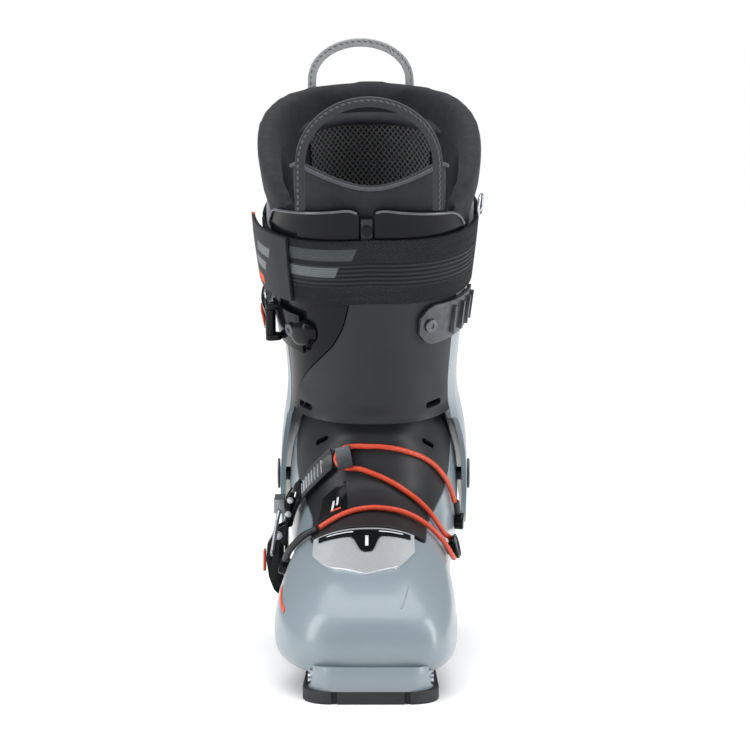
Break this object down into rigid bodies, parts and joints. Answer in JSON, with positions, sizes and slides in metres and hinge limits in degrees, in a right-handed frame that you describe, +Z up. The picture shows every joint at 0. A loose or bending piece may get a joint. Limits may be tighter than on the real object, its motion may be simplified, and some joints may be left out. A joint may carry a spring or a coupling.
{
  "type": "ski touring boot",
  "caption": "Right-foot ski touring boot with a cable-laced shell, a hinged cuff with one buckle and a power strap, and a padded liner.",
  "frame": {"origin": "middle of the flat face of the rubber under the heel", "axes": "-Y towards the toe, +X towards the inner side of the foot, +Z up"},
  "size_m": [0.1348, 0.2997, 0.3594],
  "materials": {
    "shell_plastic": "gloss",
    "panel_plastic": "matte",
    "black_plastic": "gloss",
    "red_plastic": "satin",
    "sole_rubber": "matte",
    "steel": "satin",
    "silver_plate": "satin",
    "cable_coat": "satin",
    "ladder_plastic": "satin",
    "webbing": "matte",
    "pale_webbing": "matte",
    "liner_fabric": "matte"
  },
  "bodies": {
    "shell": {"lower_shell": "shell_plastic", "toe_lip": "shell_plastic", "toe_inserts": "steel", "toe_sole": "sole_rubber", "heel_sole": "sole_rubber", "heel_block": "shell_plastic", "heel_insert": "steel", "heel_insert_screws": "steel", "boot_board": "panel_plastic", "footbed": "liner_fabric", "liner_foot": "liner_fabric", "tongue": "panel_plastic", "instep_plate": "silver_plate", "instep_badge": "black_plastic", "pivot_bolts": "steel", "cable_anchors": "black_plastic", "cable_pulley": "black_plastic", "cable_sleeves": "sole_rubber", "lace_cable": "cable_coat", "ladder_hook": "steel", "ladder_strap": "ladder_plastic", "lower_buckle_base": "black_plastic", "buckle_rivets": "steel", "lower_buckle_pin": "steel", "heel_catch": "steel"},
    "cuff": {"cuff_rear": "shell_plastic", "cuff_front": "panel_plastic", "cuff_flap": "black_plastic", "left_wing": "black_plastic", "right_wing": "black_plastic", "wing_rivet": "steel", "power_strap": "webbing", "strap_tab": "webbing", "strap_ring": "steel", "ladder_rack": "steel", "cuff_screws": "steel", "upper_buckle_base": "black_plastic", "upper_buckle_pin": "steel", "liner_cuff": "liner_fabric", "liner_tongue": "liner_fabric", "front_loop": "webbing", "rear_loop": "pale_webbing", "walk_bracket": "panel_plastic", "walk_lever_pin": "steel", "lock_bar_pin": "steel"},
    "upper_lever": {"upper_lever": "black_plastic", "upper_lever_clip": "red_plastic"},
    "upper_bail": {"upper_bail": "steel"},
    "lower_lever": {"lower_lever": "black_plastic", "lower_lever_clip": "red_plastic"},
    "lower_bail": {"lower_bail": "steel"},
    "walk_lever": {"walk_lever": "panel_plastic"},
    "lock_bar": {"lock_bar": "steel"}
  },
  "joints": [
    {"name": "ankle_pivot", "type": "hinge", "parent": "shell", "child": "cuff", "pos_m": [0, -0.057, 0.1], "axis": [1, 0, 0], "range_deg": [-28, 8]},
    {"name": "upper_lever_hinge", "type": "hinge", "parent": "cuff", "child": "upper_lever", "pos_m": [-0.05819, -0.11226, 0.19598], "axis": [0, -0.2419, 0.9703], "range_deg": [0, 105]},
    {"name": "upper_bail_hinge", "type": "hinge", "parent": "upper_lever", "child": "upper_bail", "pos_m": [-0.06112, -0.09255, 0.2009], "axis": [0, -0.2419, 0.9703], "range_deg": [0, 100]},
    {"name": "lower_lever_hinge", "type": "hinge", "parent": "shell", "child": "lower_lever", "pos_m": [-0.054, -0.11, 0.072], "axis": [0, 1, 0], "range_deg": [0, 115]},
    {"name": "lower_bail_hinge", "type": "hinge", "parent": "lower_lever", "child": "lower_bail", "pos_m": [-0.0575, -0.11, 0.061], "axis": [0, 1, 0], "range_deg": [-150, 0]},
    {"name": "walk_lever_hinge", "type": "hinge", "parent": "cuff", "child": "walk_lever", "pos_m": [0, -0.01545, 0.22991], "axis": [1, 0, 0], "range_deg": [0, 100]},
    {"name": "lock_bar_hinge", "type": "hinge", "parent": "cuff", "child": "lock_bar", "pos_m": [0, -0.00203, 0.17967], "axis": [1, 0, 0], "range_deg": [0, 12]}
  ],
  "couplings": [
    {"joint": "lock_bar_hinge", "follows": "walk_lever_hinge", "ratio": 0.12},
    {"joint": "lower_bail_hinge", "follows": "lower_lever_hinge", "ratio": -1.3}
  ]
}
